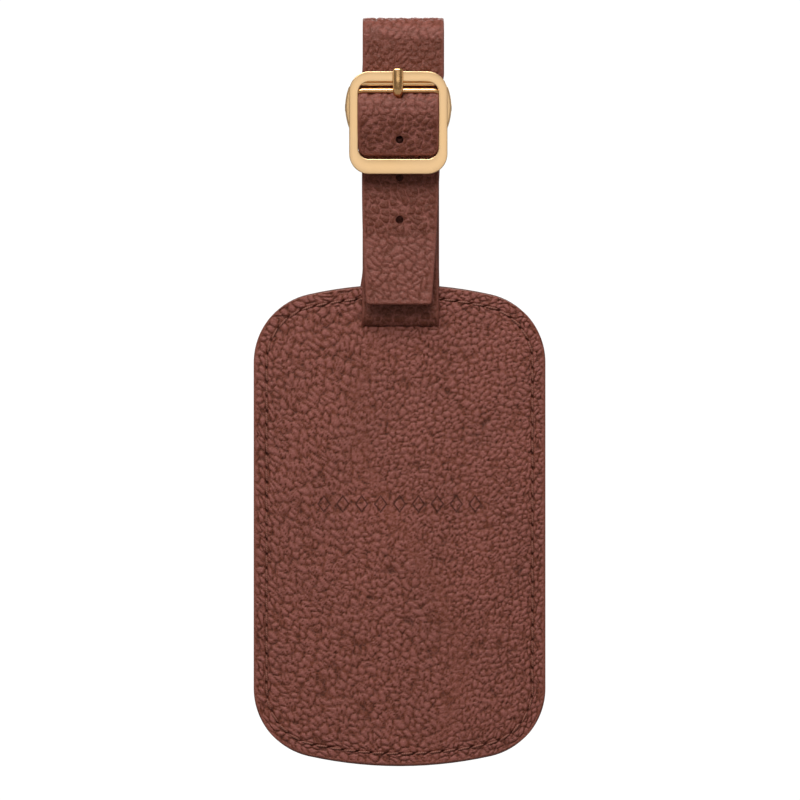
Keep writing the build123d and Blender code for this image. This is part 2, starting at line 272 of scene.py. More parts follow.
FINE = [0.00055] + [0.00024] * 5 + [0.00017] * 19 + [0.00025] * 3 + [0.00036]
ROUND = [
    (0.0, FACE_BACK_Y),
    (0.0, FACE_Y + 0.00045),
    (0.00013, FACE_Y + 0.00014),
    (0.00035, FACE_Y + 0.00001),
]
across, up = spread(2 * HALF_W, FINE), spread(2 * HALF_H, FINE)
edge_line = outline(0.0)
N_ROUND = len(ROUND)


def side_points(share, first, last):
    """Points of the outline between two of its corner middles, at shares of that stretch's length."""
    stretch = edge_line[first:last] if last > first else np.concatenate((edge_line[first:], edge_line[:last]))
    run = np.concatenate(([0], np.cumsum(np.hypot(*np.diff(stretch, axis=0).T))))
    return np.stack([np.interp(share * run[-1], run, stretch[:, k]) for k in (0, 1)], 1)


NE, SE, SW, NW = (int(np.argmax(edge_line @ way)) for way in ((1, 0.9), (1, -0.9), (-1, -0.9), (-1, 0.9)))


def body_sheet():
    """The grid's shares across and up the body, and the points of the four sides where its lines end."""
    u = np.concatenate((np.zeros(N_ROUND), across, np.full(N_ROUND, 2 * HALF_W))) / (2 * HALF_W)
    v = np.concatenate((np.zeros(N_ROUND), up, np.full(N_ROUND, 2 * HALF_H))) / (2 * HALF_H)
    top, bottom = side_points(u, NW, NE), side_points(1 - u, SE, SW)
    right, left = side_points(1 - v, NE, SE), side_points(v, SW, NW)
    return u, v, top, bottom, left, right


def front_face(i, j):
    """The face's points and tone: its rounded rim, the pebbles, the groove, the awl holes, a pressed row,
    with painted shade in the groove and the awl holes.
    """
    u, v, top, bottom, left, right = body_sheet()
    s, t = u[i][:, None], v[j][:, None]
    corners = [bottom[0], bottom[-1], top[0], top[-1]]
    flat = (1 - t) * bottom[i] + t * top[i] + (1 - s) * left[j] + s * right[j]
    flat -= (1 - t) * ((1 - s) * corners[0] + s * corners[1]) + t * ((1 - s) * corners[2] + s * corners[3])
    ring = np.minimum.reduce((i, j, len(u) - 1 - i, len(v) - 1 - j))
    x, z = flat.T
    inset = np.choose(np.minimum(ring, N_ROUND - 1), [r[0] for r in ROUND]) * (ring < N_ROUND)
    centre = np.stack((x * 0.6, MID_Z + (z - MID_Z) * 0.75), 1)
    inward = centre - flat
    inward /= np.linalg.norm(inward, axis=1)[:, None]
    x, z = (flat + inward * inset[:, None]).T
    inside = np.maximum(depth_in(x, z), 0)
    gx, gz = swirl(x, z, 0.0035)
    slant, cross = (gx - gz) / math.sqrt(2), (gx + gz) / math.sqrt(2)
    drawn_out = pebbles(slant * 0.74, cross * 1.22, 0.00162, 3)
    even = pebbles(gx, gz, 0.00136, 14)
    side = ease((x + 0.012 * np.sin(z / 0.019) - 0.002) / 0.009 + 0.5)
    grain = 0.80 * ((1 - side) * drawn_out + side * even) + 0.20 * pebbles(gx, gz, 0.00082, 8)
    fade = np.clip((inside - 0.0003) / 0.0007, 0, 1)
    line = np.exp(-(((inside - STITCH_INSET) / 0.00042) ** 2))
    hole = np.zeros(len(x))
    for spot, run in zip(pricks, prick_run):
        near = np.flatnonzero((np.abs(x - spot[0]) < 0.0012) & (np.abs(z - spot[1]) < 0.0012))
        dx, dz = x[near] - spot[0], z[near] - spot[1]
        cut = run @ ((0.94, 0.34), (-0.34, 0.94))
        lengthways, sideways = dx * cut[0] + dz * cut[1], dx * cut[1] - dz * cut[0]
        slit = np.exp(-((lengthways / 0.00060) ** 2) - (sideways / 0.00020) ** 2)
        hole[near] = np.maximum(hole[near], slit)
    motif = ease((0.0030 - np.abs(z - MOTIF_Z)) / 0.001)
    motif *= ease(((GEMS / 2 + 0.1) * GEM_PITCH - np.abs(x)) / 0.001)
    lift = 0.00044 * (grain - 0.7) * fade * (1 - 0.75 * line) * (1 - 0.45 * motif)
    lift -= 0.00018 * line + 0.00068 * hole + 0.00006 * motif
    y = np.choose(np.minimum(ring, N_ROUND), [r[1] for r in ROUND] + [FACE_Y])
    y = np.where(ring < N_ROUND, y, FACE_Y - lift)
    # The tone: pebble heights, which the leather ramp turns into painted crease shade and painted sheen on
    # the tops, darkened as painted shade in the awl holes and along the stitching groove.
    tone = grain * fade + (1 - fade) * 0.55
    tone = tone * (1 - 0.85 * hole) * (1 - 0.2 * line)
    return np.stack((x, y, z), 1), tone


face = grid("front_panel_leather", len(across) + 2 * N_ROUND - 1, len(up) + 2 * N_ROUND - 1, front_face)
slot_low, slot_high, SLOT_W = -0.06805, -0.06515, 0.0178
bm = bmesh.new()
bmesh.ops.create_cube(bm, size=1.0)
bmesh.ops.scale(bm, verts=bm.verts, vec=(SLOT_W, 0.02, slot_high - slot_low))
bmesh.ops.bevel(bm, geom=bm.edges, offset=0.0004, segments=2, affect="EDGES", profile=0.5, material=-1)
bmesh.ops.translate(bm, verts=bm.verts, vec=(0.0002, 0, (slot_low + slot_high) / 2))
punch = bpy.data.objects.new("slot_punch", bpy.data.meshes.new("slot_punch"))
bm.to_mesh(punch.data)
bm.free()
scene.collection.objects.link(punch)
carve(face, punch)


def leather(
    name, top, body, crease, rough, cells, relief, follow=0.0, net=0.62, paleness=0.62, crumb=0.6, knee=0.45
):
    """Dyed leather, coloured from painted shade in its creases to a painted sheen on its tops, uneven in dye,
    with grain and pores as bump. On the strap the crease colour is pale instead, a painted highlight on the
    crease walls.

    follow is how much of the mesh's own grain attribute it takes up, pebble grain with painted light in it.
    net and paleness are the width and strength of its pale veins, a painted highlight. crumb is the finest
    grain's share of the relief. knee is the height of the body colour.
    """
    made = bpy.data.materials.new(name)
    made.use_nodes = True
    nodes, links = made.node_tree.nodes, made.node_tree.links
    shader = nodes["Principled BSDF"]
    where = nodes.new("ShaderNodeTexCoord").outputs["Object"]
    dye, drift, pores = (nodes.new("ShaderNodeTexNoise") for _ in range(3))
    for noise, scale, detail in ((dye, 75.0, 5.0), (drift, cells * 0.45, 2.0), (pores, cells * 5.0, 3.0)):
        noise.inputs["Scale"].default_value = scale
        noise.inputs["Detail"].default_value = detail
        links.new(where, noise.inputs["Vector"])
    bent = nodes.new("ShaderNodeVectorMath")
    bent.operation = "MULTIPLY_ADD"
    bent.inputs[1].default_value = (0.9 / cells, 0.9 / cells, 0.9 / cells)
    links.new(drift.outputs["Color"], bent.inputs[0])
    links.new(where, bent.inputs[2])
    heights = []
    for scale, reach in ((cells, 0.17), (cells * 2.1, 0.26), (cells * net, 0.12)):
        vein, rise = nodes.new("ShaderNodeTexVoronoi"), nodes.new("ShaderNodeMapRange")
        vein.feature = "DISTANCE_TO_EDGE"
        vein.inputs["Scale"].default_value = scale
        rise.interpolation_type = "SMOOTHSTEP"
        rise.inputs["From Max"].default_value = reach
        links.new(bent.outputs["Vector"], vein.inputs["Vector"])
        links.new(vein.outputs["Distance"], rise.inputs["Value"])
        heights.append(rise.outputs["Result"])
    tone = heights[0]
    # The grain attribute read here carries painted light as well as pebble grain: shade in creases and holes,
    # sheen on tops.
    if follow:
        grain, blend = nodes.new("ShaderNodeAttribute"), nodes.new("ShaderNodeMix")
        grain.attribute_name = "grain"
        blend.inputs["Factor"].default_value = follow
        links.new(heights[0], blend.inputs["A"])
        links.new(grain.outputs["Fac"], blend.inputs["B"])
        tone = blend.outputs["Result"]
    # The ramp paints the crease colour into the creases (painted shade, but a painted highlight on the strap)
    # and the top colour, a painted sheen, onto the tops.
    ramp = nodes.new("ShaderNodeValToRGB")
    ramp.color_ramp.elements[0].position, ramp.color_ramp.elements[1].position = knee * 0.22, 0.95
    ramp.color_ramp.elements[0].color = (*crease, 1)
    ramp.color_ramp.elements[1].color = (*top, 1)
    ramp.color_ramp.elements.new(knee).color = (*body, 1)
    links.new(tone, ramp.inputs["Fac"])
    # The pale veins are a painted highlight: the vein network is mixed toward the top colour.
    veined, pale = nodes.new("ShaderNodeMix"), nodes.new("ShaderNodeMapRange")
    veined.data_type = "RGBA"
    pale.inputs["To Min"].default_value, pale.inputs["To Max"].default_value = paleness, 0.0
    links.new(heights[2], pale.inputs["Value"])
    links.new(pale.outputs["Result"], veined.inputs["Factor"])
    links.new(ramp.outputs["Color"], veined.inputs[6])
    veined.inputs[7].default_value = (*top, 1)
    uneven, shade = nodes.new("ShaderNodeMix"), nodes.new("ShaderNodeMapRange")
    uneven.data_type, uneven.blend_type = "RGBA", "MULTIPLY"
    uneven.inputs[0].default_value = 1.0
    shade.inputs["From Min"].default_value, shade.inputs["From Max"].default_value = 0.3, 0.7
    shade.inputs["To Min"].default_value, shade.inputs["To Max"].default_value = 0.94, 1.06
    links.new(dye.outputs["Fac"], shade.inputs["Value"])
    links.new(veined.outputs[2], uneven.inputs[6])
    links.new(shade.outputs["Result"], uneven.inputs[7])
    links.new(uneven.outputs[2], shader.inputs["Base Color"])
    gloss = nodes.new("ShaderNodeMapRange")
    gloss.inputs["To Min"].default_value, gloss.inputs["To Max"].default_value = rough + 0.16, rough - 0.06
    links.new(tone, gloss.inputs["Value"])
    links.new(gloss.outputs["Result"], shader.inputs["Roughness"])
    normal = None
    for height, depth in (
        (heights[0], relief),
        (heights[1], relief * crumb),
        (heights[2], -relief * paleness),
        (pores.outputs["Fac"], relief * crumb),
    ):
        bump = nodes.new("ShaderNodeBump")
        bump.inputs["Strength"].default_value = 0.8
        bump.inputs["Distance"].default_value = abs(depth)
        bump.invert = depth < 0
        links.new(height, bump.inputs["Height"])
        if normal:
            links.new(normal, bump.inputs["Normal"])
        normal = bump.outputs["Normal"]
    links.new(normal, shader.inputs["Normal"])
    shader.inputs["Specular IOR Level"].default_value = 0.27
    return made


def sums(operation, a, b=None, c=None):
    """One Math node: its result, from sockets or plain numbers."""
    node = nodes.new("ShaderNodeMath")
    node.operation = operation
    for socket, value in zip(node.inputs, (a, b, c)):
        if isinstance(value, (int, float)):
            socket.default_value = value
        elif value is not None:
            links.new(value, socket)
    return node.outputs["Value"]


# The pinkish top colour is a painted sheen on the pebble tops, and the near-black crease colour painted shade
# in the creases.
pebbled = leather(
    "pebbled_leather",
    (0.282, 0.095, 0.079),
    (0.160, 0.040, 0.019),
    (0.055, 0.010, 0.003),
    0.44,
    1500.0,
    0.00005,
    follow=0.86,
    net=0.42,
    paleness=0.35,
    crumb=0.7,
)
nodes, links = pebbled.node_tree.nodes, pebbled.node_tree.links
place_of = nodes.new("ShaderNodeSeparateXYZ")
links.new(nodes.new("ShaderNodeTexCoord").outputs["Object"], place_of.inputs["Vector"])
sideways = sums("PINGPONG", place_of.outputs["X"], GEM_PITCH / 2)
upward = sums("ABSOLUTE", sums("SUBTRACT", place_of.outputs["Z"], MOTIF_Z))
from_line = sums("ABSOLUTE", sums("SUBTRACT", sums("MULTIPLY_ADD", sideways, 1.35, upward), 0.0019))
pressed = nodes.new("ShaderNodeMapRange")
pressed.interpolation_type = "SMOOTHSTEP"
pressed.inputs["From Min"].default_value, pressed.inputs["From Max"].default_value = 0.00034, 0.00012
links.new(from_line, pressed.inputs["Value"])
in_row = sums("LESS_THAN", sums("ABSOLUTE", place_of.outputs["X"]), GEMS / 2 * GEM_PITCH)
stamp = sums("MULTIPLY", pressed.outputs["Result"], in_row)
shader = nodes["Principled BSDF"]
plain, normal = shader.inputs["Base Color"].links[0].from_socket, shader.inputs["Normal"].links[0].from_socket
# The pressed lines are darkened in colour.
darker_lines, dent = nodes.new("ShaderNodeMix"), nodes.new("ShaderNodeBump")
darker_lines.data_type = "RGBA"
darker_lines.inputs[7].default_value = (0.060, 0.012, 0.004, 1)
links.new(sums("MULTIPLY", stamp, 0.75), darker_lines.inputs["Factor"])
links.new(plain, darker_lines.inputs[6])
links.new(darker_lines.outputs[2], shader.inputs["Base Color"])
dent.invert = True
dent.inputs["Distance"].default_value = 0.0003
links.new(stamp, dent.inputs["Height"])
links.new(normal, dent.inputs["Normal"])
links.new(dent.outputs["Normal"], shader.inputs["Normal"])
face.data.materials.clear()
face.data.materials.append(pebbled)
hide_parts("front_panel")
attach(face, "tag")

# ---- Strap ----
# Two pebbled strips, glued back to back, make one 19 mm strap with grain on both faces. It starts at the
# rounded tip in the buckle, goes over the luggage handle, down the back and through the slot, up to the
# buckle's bar and round it, and ends square and tapered in front of itself.
# The pale crease colour is a painted highlight on the crease walls, and the pinkish top colour a painted
# sheen.
strap_leather = leather(
    "strap_leather",
    (0.236, 0.075, 0.056),
    (0.094, 0.019, 0.005),
    (0.265, 0.091, 0.072),
    0.41,
    1500.0,
    0.00005,
    follow=0.90,
    net=0.35,
    paleness=0.35,
    crumb=0.7,
    knee=0.42,
)
STRAP_W, PLY_T = 0.0190, 0.00075
bar_low, bar_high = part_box("centre_bar")
BAR_Y, BAR_Z = (bar_low.y + bar_high.y) / 2, (bar_low.z + bar_high.z) / 2
LOOP_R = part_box("handle_loop_outer_ply")[1].z - PLY_T
TIP_Z, END_Z = -0.0276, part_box("strap_end_face_ply")[0].z
FOLD_R, SLOT_R = 0.0019, 0.00245
SLOT_Y, SLOT_FLOOR = -0.00035, -0.06515 - SLOT_R
ROUTE = [
    (-0.0064, TIP_Z, 0),
    (-0.0081, -0.0186, 0.010),
    (-0.0078, -0.0150, 0.004),
    (-LOOP_R, -0.0106, 0.0045),
    (-LOOP_R, LOOP_R, LOOP_R),
    (LOOP_R, LOOP_R, LOOP_R),
    (LOOP_R, -0.0140, 0.030),
    (0.0023, -0.0420, 0.030),
    (SLOT_Y + SLOT_R, -0.0560, 0.030),
    (SLOT_Y + SLOT_R, SLOT_FLOOR, SLOT_R),
    (SLOT_Y - SLOT_R, SLOT_FLOOR, SLOT_R),
    (SLOT_Y - SLOT_R, -0.0480, 0.030),
    (BAR_Y + FOLD_R, -0.0200, 0.030),
    (BAR_Y + FOLD_R, BAR_Z + FOLD_R, FOLD_R),
    (BAR_Y - FOLD_R, BAR_Z + FOLD_R, FOLD_R),
    (BAR_Y - FOLD_R, -0.0190, 0.015),
    (-0.0044, -0.0275, 0.012),
    (-0.0044, -0.0465, 0.030),
    (-0.0060, END_Z, 0),
]


def rounded_route(corners, step=0.00008):
    """A route of (y, z, corner radius), its corners rounded, as dense points, and the length run at each."""
    spots = [np.array(c[:2]) for c in corners]
    made = [spots[0]]
    for before, (y, z, radius), after in zip(spots, corners[1:-1], spots[2:]):
        corner = np.array((y, z))
        a, b = corner - before, after - corner
        a, b = a / np.linalg.norm(a), b / np.linalg.norm(b)
        turn = math.acos(np.clip(a @ b, -1, 1))
        reach = radius * math.tan(turn / 2)
        side = math.copysign(1, a[0] * b[1] - a[1] * b[0])
        centre = corner - a * reach + side * radius * np.array((-a[1], a[0]))
        start = math.atan2(*(corner - a * reach - centre)[::-1])
        bend = start + side * np.linspace(0, turn, max(int(radius * turn / step), 3))
        made.extend(centre + radius * np.stack((np.cos(bend), np.sin(bend)), 1))
    made.append(spots[-1])
    line = np.array(made)
    run = np.concatenate(([0], np.cumsum(np.hypot(*np.diff(line, axis=0).T))))
    keep = np.concatenate(([True], np.diff(run) > 1e-7))
    return line[keep], run[keep]


strap_line, strap_run = rounded_route(ROUTE)
STRAP_LONG = strap_run[-1]
HOLES_Z = (-0.0227, -0.0327, -0.0428)
last_leg = strap_run > STRAP_LONG - 0.045
holes_at = [0.0037] + [np.interp(-z, -strap_line[last_leg, 1], strap_run[last_leg]) for z in HOLES_Z]
ends = np.array([0, 0.00006, 0.00015, 0.00028, 0.00045, 0.0007])
middle = np.arange(0.00100, STRAP_LONG - 0.00085, 0.00034)
strap_rows = np.concatenate((ends, middle, STRAP_LONG - ends[::-1]))


def tip_share(s, r):
    """How far a corner of that radius has drawn in, at a distance from the end it rounds off."""
    return r - np.sqrt(np.maximum(r * r - np.maximum(r - s, 0) ** 2, 0))


def strap_half_width(s, z, y):
    """Half the strap's width along it: round at the tip, drawn in at the waist, tapered at the end."""
    half = STRAP_W / 2 + 0.00012 + 0.00006 * ease((s - 0.014) / 0.005) * (1 - ease((s - 0.045) / 0.015))
    half -= tip_share(s, 0.0022)
    front_end = np.clip((-0.032 - z) / 0.031, 0, 1) * (s > STRAP_LONG - 0.034)
    half -= 0.0014 * front_end**1.8 + 0.00035 * ease((-0.0285 - z) / 0.003) * (s > STRAP_LONG - 0.040)
    slot_leg = (s > STRAP_LONG * 0.5) & (s < STRAP_LONG - 0.045) & (y < 0)
    half -= 0.00012 * ease((s - 0.045) / 0.010)
    half -= slot_leg * ease(-y / 0.002) * (0.00035 + 0.00045 * np.exp(-(((z + 0.0470) / 0.009) ** 2)))
    rear_leg = (s > 0.045) & (s < STRAP_LONG * 0.5) & (y > 0)
    half -= rear_leg * 0.00035 * ease((-0.028 - z) / 0.006) * ease((z + 0.060) / 0.006)
    half -= tip_share(STRAP_LONG - s, 0.0007)
    return half


def strap_drift(s):
    """The strap's slack: it sits a little left in the buckle, and a little right above and below it."""
    above = 0.0009 * ease((s - 0.0150) / 0.0055) * (1 - ease((s - 0.045) / 0.015))
    left = STRAP_LONG - s
    below = 0.0005 * ease((0.038 - left) / 0.006) * (0.3 + 0.7 * ease(left / 0.032))
    below += 0.0002 * ease((s - 0.105) / 0.010) * ease((left - 0.050) / 0.006)
    below += 0.0003 * ease((s - 0.070) / 0.006) * ease((0.104 - s) / 0.006)
    in_buckle = -0.0003 * (1 - ease((s - 0.0150) / 0.0055)) - 0.0003 * ease((0.052 - left) / 0.008)
    return above + below + in_buckle


def ply(name, outward, seed):
    """One strip of the strap, on its route's left (outward 1) or right (-1)."""
    face_x = np.linspace(-1, 1, 84)
    fall = np.linspace(0, math.pi / 2, 5)
    edge = 0.00038
    section = [(x, 0.0, 1.0) for x in face_x] + [(1.0, math.sin(a), math.cos(a)) for a in fall[1:]]
    section += [(1.0, 1.0, -1.0), (0.5, 0.0, -1.0), (-0.5, 0.0, -1.0), (-1.0, 1.0, -1.0)]
    section += [(-1.0, math.sin(a), math.cos(a)) for a in fall[::-1][:-1]]
    section = np.array(section + section[:1])

    def place(i, j):
        s = strap_rows[j]
        y, z = (np.interp(s, strap_run, strap_line[:, k]) for k in (0, 1))
        ahead, behind = np.minimum(s + 0.0001, STRAP_LONG), np.maximum(s - 0.0001, 0)
        ty, tz = (
            np.interp(ahead, strap_run, strap_line[:, k]) - np.interp(behind, strap_run, strap_line[:, k])
            for k in (0, 1)
        )
        size = np.hypot(ty, tz)
        ny, nz = -tz / size * outward, ty / size * outward
        half = strap_half_width(s, z, y)
        share, corner, level = section[i].T
        x = share * (half - edge) + np.sign(share) * (np.abs(share) > 0.99) * edge * corner
        on_face = level > 0.999
        gx, gz = swirl(x + seed * 0.01, s, 0.0016)
        grain = 0.74 * pebbles(gx * 0.9, gz * 1.15, 0.00185, seed) + 0.26 * pebbles(gx, gz, 0.00095, seed + 5)
        from_hole = np.min([np.hypot(x + strap_drift(s), s - at) for at in holes_at], axis=0)
        dished = np.exp(-((from_hole / 0.00128) ** 6))
        rim = np.minimum.reduce((half - np.abs(x), s, STRAP_LONG - s))
        fade = np.clip((rim - 0.0003) / 0.0009, 0, 1) * on_face
        drop = tip_share(np.minimum(s, STRAP_LONG - s), 0.00035)
        out = np.where(level < 0, 0.0, PLY_T - edge + edge * np.maximum(level, 0) - drop)
        out = np.maximum(out, 0) + (0.00040 * (grain - 0.7) * (1 - dished) - 0.00016 * dished) * fade
        # Painted light in the tone: lighter where the face turns up towards the light above, paler along the
        # rounded edges as a painted highlight, and lighter on the dished rings round the holes.
        lit = ease((nz + 0.02 + 0.02 * (s < STRAP_LONG / 2)) / 0.10)
        tone = (0.55 * grain * (1 - lit) + (0.42 + 0.56 * grain) * lit) * fade + (1 - fade) * 0.7
        tone += (0.8 - tone) * dished
        return np.stack((x + strap_drift(s), y + ny * out, z + nz * out), 1), tone

    return grid(name, len(section) - 1, len(strap_rows) - 1, place)


outer = ply("strap_outer_ply", 1, 21)
inner = ply("strap_inner_ply", -1, 33)


def drill(piece, y, z, radius=0.00095, tall=0.0, tilt=0.0, depth=0.0024):
    """A punched hole, or with tall a punched slot, through the strap from front to back."""
    bm = bmesh.new()
    bmesh.ops.create_circle(bm, cap_ends=True, segments=24, radius=radius)
    for vert in bm.verts:
        vert.co.y += math.copysign(tall / 2, vert.co.y) if tall else 0.0
    made = bmesh.ops.extrude_face_region(bm, geom=bm.faces[:])["geom"]
    far_side = [g for g in made if isinstance(g, bmesh.types.BMVert)]
    bmesh.ops.translate(bm, verts=far_side, vec=(0, 0, depth))
    bmesh.ops.translate(bm, verts=bm.verts, vec=(0, 0, -depth / 2))
    bmesh.ops.recalc_face_normals(bm, faces=bm.faces)
    bmesh.ops.rotate(bm, verts=bm.verts, matrix=Matrix.Rotation(math.radians(90 + tilt), 3, "X"))
    bmesh.ops.translate(bm, verts=bm.verts, vec=(0, y, z))
    tool = bpy.data.objects.new("drill", bpy.data.meshes.new("drill"))
    bm.to_mesh(tool.data)
    bm.free()
    scene.collection.objects.link(tool)
    carve(piece, tool)


for strip in (outer, inner):
    drill(strip, -0.0072, TIP_Z + 0.0037, depth=0.0036)
    for hole_z in HOLES_Z:
        drill(strip, -0.0048, hole_z, depth=0.0021)
    drill(strip, -0.0062, -0.0131, tall=0.0016, tilt=-20, depth=0.0034)
    strip.data.materials.clear()
    strip.data.materials.append(strap_leather)
    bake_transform(strip)
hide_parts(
    "handle_loop_outer_ply", "slot_loop_outer_ply", "buckle_fold_lining_ply", "strap_end_lining_ply"
)
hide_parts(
    "handle_loop_inner_ply", "slot_loop_inner_ply", "buckle_fold_face_ply", "strap_end_face_ply"
)

# ---- Stitching ----
# Waxed thread, twisted from yarns and dyed to match the leather, sewn with a slight slant. Each stitch is
# its own spindle of thread whose ends dive into the awl holes, on the face, above the pocket and round
# the pocket.
thread = bpy.data.materials.new("waxed_thread")
thread.use_nodes = True
nodes, links = thread.node_tree.nodes, thread.node_tree.links
shader = nodes["Principled BSDF"]
lay, ridges = nodes.new("ShaderNodeAttribute"), nodes.new("ShaderNodeBump")
wax, tint = nodes.new("ShaderNodeTexNoise"), nodes.new("ShaderNodeValToRGB")
lay.attribute_name = "lay"
wax.inputs["Scale"].default_value = 2400.0
links.new(nodes.new("ShaderNodeTexCoord").outputs["Object"], wax.inputs["Vector"])
yarns, strands = nodes.new("ShaderNodeMath"), nodes.new("ShaderNodeMath")
yarns.operation, strands.operation = "SINE", "ABSOLUTE"
links.new(lay.outputs["Fac"], yarns.inputs[0])
links.new(yarns.outputs["Value"], strands.inputs[0])
# The tint ramp is painted shade: dark in the grooves between the twisted yarns, lighter on their crowns.
tint.color_ramp.elements[0].color = (0.075, 0.020, 0.011, 1)
tint.color_ramp.elements[1].color = (0.245, 0.084, 0.056, 1)
tint.color_ramp.elements[1].position = 0.7
links.new(strands.outputs["Value"], tint.inputs["Fac"])
links.new(tint.outputs["Color"], shader.inputs["Base Color"])
ridges.inputs["Strength"].default_value = 0.8
ridges.inputs["Distance"].default_value = 0.00008
links.new(strands.outputs["Value"], ridges.inputs["Height"])
links.new(ridges.outputs["Normal"], shader.inputs["Normal"])
dull = nodes.new("ShaderNodeMapRange")
dull.inputs["To Min"].default_value, dull.inputs["To Max"].default_value = 0.42, 0.62
links.new(wax.outputs["Fac"], dull.inputs["Value"])
links.new(dull.outputs["Result"], shader.inputs["Roughness"])
shader.inputs["Specular IOR Level"].default_value = 0.4


def stitch_row(name, node, face_y, out, keep):
    """The stitches on the face at face_y, which looks along out, at the seam's places where keep is true."""
    bm = bmesh.new()
    lay = bm.verts.layers.float.new("lay")
    for (x, z), (rx, rz) in zip(seam, seam_run):
        if not keep(z):
            continue
        turn = math.atan2(rz, rx) - out * math.radians(5)
        made = bmesh.ops.create_uvsphere(bm, u_segments=8, v_segments=8, radius=1.0)["verts"]
        for vert in made:
            vert[lay] = 8.32 * vert.co.z + math.atan2(vert.co.y, vert.co.x)
        place = (
            Matrix.Translation((x, face_y - out * 0.00010, z))
            @ Matrix.Rotation(-turn, 4, "Y")
            @ Matrix.Rotation(math.pi / 2, 4, "Y")
            @ Matrix.Diagonal((0.00027, 0.00030, 0.00148, 1))
        )
        bmesh.ops.transform(bm, matrix=place, verts=made)
    for facet in bm.faces:
        facet.smooth = True
    piece = bpy.data.objects.new(name, bpy.data.meshes.new(name))
    bm.to_mesh(piece.data)
    bm.free()
    scene.collection.objects.link(piece)
    piece.data.materials.append(thread)
    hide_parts(node)
    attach(piece, "tag")


pocket_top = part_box("pocket_panel")[1]
web_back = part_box("back_panel")[1].y
stitch_row("front_stitching", "front_stitches", FACE_Y, -1, lambda z: True)
stitch_row("back_stitching", "back_stitches", web_back, 1, lambda z: z > pocket_top.z + 0.0010)
stitch_row("pocket_stitching", "pocket_stitches", pocket_top.y, 1, lambda z: z < pocket_top.z - 0.0010)

# ---- Board, back and pocket ----
# The bonded board in the middle shows only as the tag's dark painted edge. The back is fine-grained
# leather, and the pocket over it is a second piece with a thumb notch and a window. Every cut edge is
# slightly rounded.
edge_paint = leather(
    "painted_edge",
    (0.115, 0.034, 0.020),
    (0.100, 0.029, 0.017),
    (0.080, 0.023, 0.013),
    0.36,
    260.0,
    0.00002,
)
fine_grain = leather(
    "fine_leather",
    (0.200, 0.064, 0.044),
    (0.168, 0.047, 0.028),
    (0.125, 0.034, 0.019),
    0.44,
    1300.0,
    0.00005,
)


def rounded_copy(node, name, size):
    """A CAD piece's own shape as one closed mesh, with its sharp edges rounded."""
    bm = bmesh.new()
    bm.from_mesh(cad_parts[node].data)
    bmesh.ops.remove_doubles(bm, verts=bm.verts, dist=2e-6)
    bmesh.ops.dissolve_limit(bm, angle_limit=0.01, verts=bm.verts, edges=bm.edges)
    sharp = [e for e in bm.edges if len(e.link_faces) == 2 and e.calc_face_angle(0) > 0.9]
    bmesh.ops.bevel(
        bm, geom=sharp, offset=size, segments=2, affect="EDGES", profile=0.5, material=-1, clamp_overlap=True
    )
    for facet in bm.faces:
        facet.smooth = True
    piece = bpy.data.objects.new(name, bpy.data.meshes.new(name))
    bm.to_mesh(piece.data)
    bm.free()
    piece.data.set_sharp_from_angle(angle=math.radians(28))
    scene.collection.objects.link(piece)
    piece.data.materials.clear()
    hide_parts(node)
    return piece


for node, name, size, finish, named in (
    ("core_board", "core_board_edge", 0.00008, edge_paint, "board"),
    ("back_panel", "back_panel_leather", 0.00010, fine_grain, "smooth_leather"),
    ("pocket_panel", "pocket_panel_leather", 0.00020, fine_grain, "smooth_leather"),
):
    piece = rounded_copy(node, name, size)
    piece.data.materials.append(finish)
    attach(piece, "tag")

# ---- Window film ----
# A clear vinyl sheet welded inside the pocket. It is glossy, with faint handling scuffs and slow ripples.
film = rounded_copy("window_film", "window_film_sheet", 0.00006)
vinyl = bpy.data.materials.new("clear_vinyl")
vinyl.use_nodes = True
nodes, links = vinyl.node_tree.nodes, vinyl.node_tree.links
shader = nodes["Principled BSDF"]
where = nodes.new("ShaderNodeTexCoord").outputs["Object"]
ripple, scuff = nodes.new("ShaderNodeTexNoise"), nodes.new("ShaderNodeTexNoise")
ripple.inputs["Scale"].default_value = 45.0
scuff.inputs["Scale"].default_value = 900.0
links.new(where, ripple.inputs["Vector"])
links.new(where, scuff.inputs["Vector"])
rub, wave = nodes.new("ShaderNodeMapRange"), nodes.new("ShaderNodeBump")
rub.inputs["From Min"].default_value, rub.inputs["From Max"].default_value = 0.45, 0.75
rub.inputs["To Min"].default_value, rub.inputs["To Max"].default_value = 0.05, 0.20
links.new(scuff.outputs["Fac"], rub.inputs["Value"])
links.new(rub.outputs["Result"], shader.inputs["Roughness"])
wave.inputs["Strength"].default_value = 0.4
wave.inputs["Distance"].default_value = 0.0006
links.new(ripple.outputs["Fac"], wave.inputs["Height"])
links.new(wave.outputs["Normal"], shader.inputs["Normal"])
clear = nodes.new("ShaderNodeValToRGB")
clear.color_ramp.elements[0].color = (0.90, 0.92, 0.93, 1)
clear.color_ramp.elements[1].color = (0.98, 0.98, 0.97, 1)
links.new(ripple.outputs["Fac"], clear.inputs["Fac"])
links.new(clear.outputs["Color"], shader.inputs["Base Color"])
shader.inputs["Alpha"].default_value = 0.22
shader.inputs["IOR"].default_value = 1.46
film.data.materials.append(vinyl)
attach(film, "tag")

